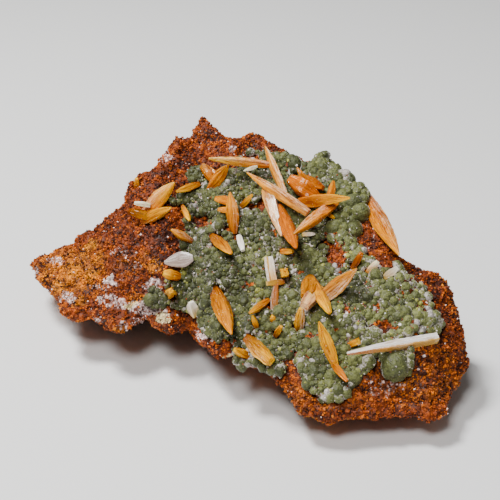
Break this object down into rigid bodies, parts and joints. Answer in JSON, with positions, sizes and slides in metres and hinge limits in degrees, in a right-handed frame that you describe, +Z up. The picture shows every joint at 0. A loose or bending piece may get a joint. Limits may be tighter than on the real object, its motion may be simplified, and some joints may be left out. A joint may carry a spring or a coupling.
{
  "type": "wulfenite with mimetite specimen",
  "caption": "Rugged wedge of rusty brown limonite with a crust of grey-green mimetite balls and steep spindles of orange and yellow wulfenite, standing on a flat foot.",
  "frame": {"origin": "middle of the bottom of the bounding box, on the floor that the rock rests on", "axes": "+Z up; -Y towards the viewer, so the crystal-covered face leans back from the front rim; +X to the viewer's right, towards the blunt end of the rock; -X towards its tapering end"},
  "size_m": [0.0794, 0.0569, 0.0345],
  "materials": {
    "limonite": "rough, granular",
    "mimetite": "waxy",
    "wulfenite": "resinous to glassy, translucent",
    "wulfenite_pale": "glassy, pearly white"
  },
  "bodies": {
    "root": {"limonite_matrix": "limonite", "mimetite_crust": "mimetite", "wulfenite_west_group": "wulfenite", "wulfenite_north_west": "wulfenite", "wulfenite_north_pair": "wulfenite", "wulfenite_central_spray": "wulfenite", "wulfenite_spray_bit": "wulfenite", "wulfenite_spray_foot": "wulfenite_pale", "wulfenite_middle_north": "wulfenite", "wulfenite_middle_group": "wulfenite", "wulfenite_west_small": "wulfenite", "wulfenite_west_spindle": "wulfenite", "wulfenite_centre_west": "wulfenite", "wulfenite_pale_middle": "wulfenite_pale", "wulfenite_rim_spear": "wulfenite", "wulfenite_centre_bit": "wulfenite", "wulfenite_blade": "wulfenite_pale", "wulfenite_west_block": "wulfenite", "wulfenite_west_end_on": "wulfenite", "wulfenite_glassy": "wulfenite_pale", "wulfenite_south_large": "wulfenite", "wulfenite_pale_bars": "wulfenite_pale", "wulfenite_bars_foot": "wulfenite", "wulfenite_south_west": "wulfenite", "wulfenite_south_small": "wulfenite", "wulfenite_cube_centre": "wulfenite", "wulfenite_banded": "wulfenite", "wulfenite_south_bit": "wulfenite", "wulfenite_rim_ribbed": "wulfenite", "wulfenite_rim_chunk": "wulfenite", "wulfenite_east_group": "wulfenite", "wulfenite_south_east_pair": "wulfenite", "wulfenite_cube_east": "wulfenite", "wulfenite_pale_prism": "wulfenite_pale", "wulfenite_east_brown": "wulfenite", "wulfenite_east_pale": "wulfenite", "wulfenite_east_white": "wulfenite_pale", "wulfenite_rim_grain": "wulfenite"}
  },
  "joints": []
}
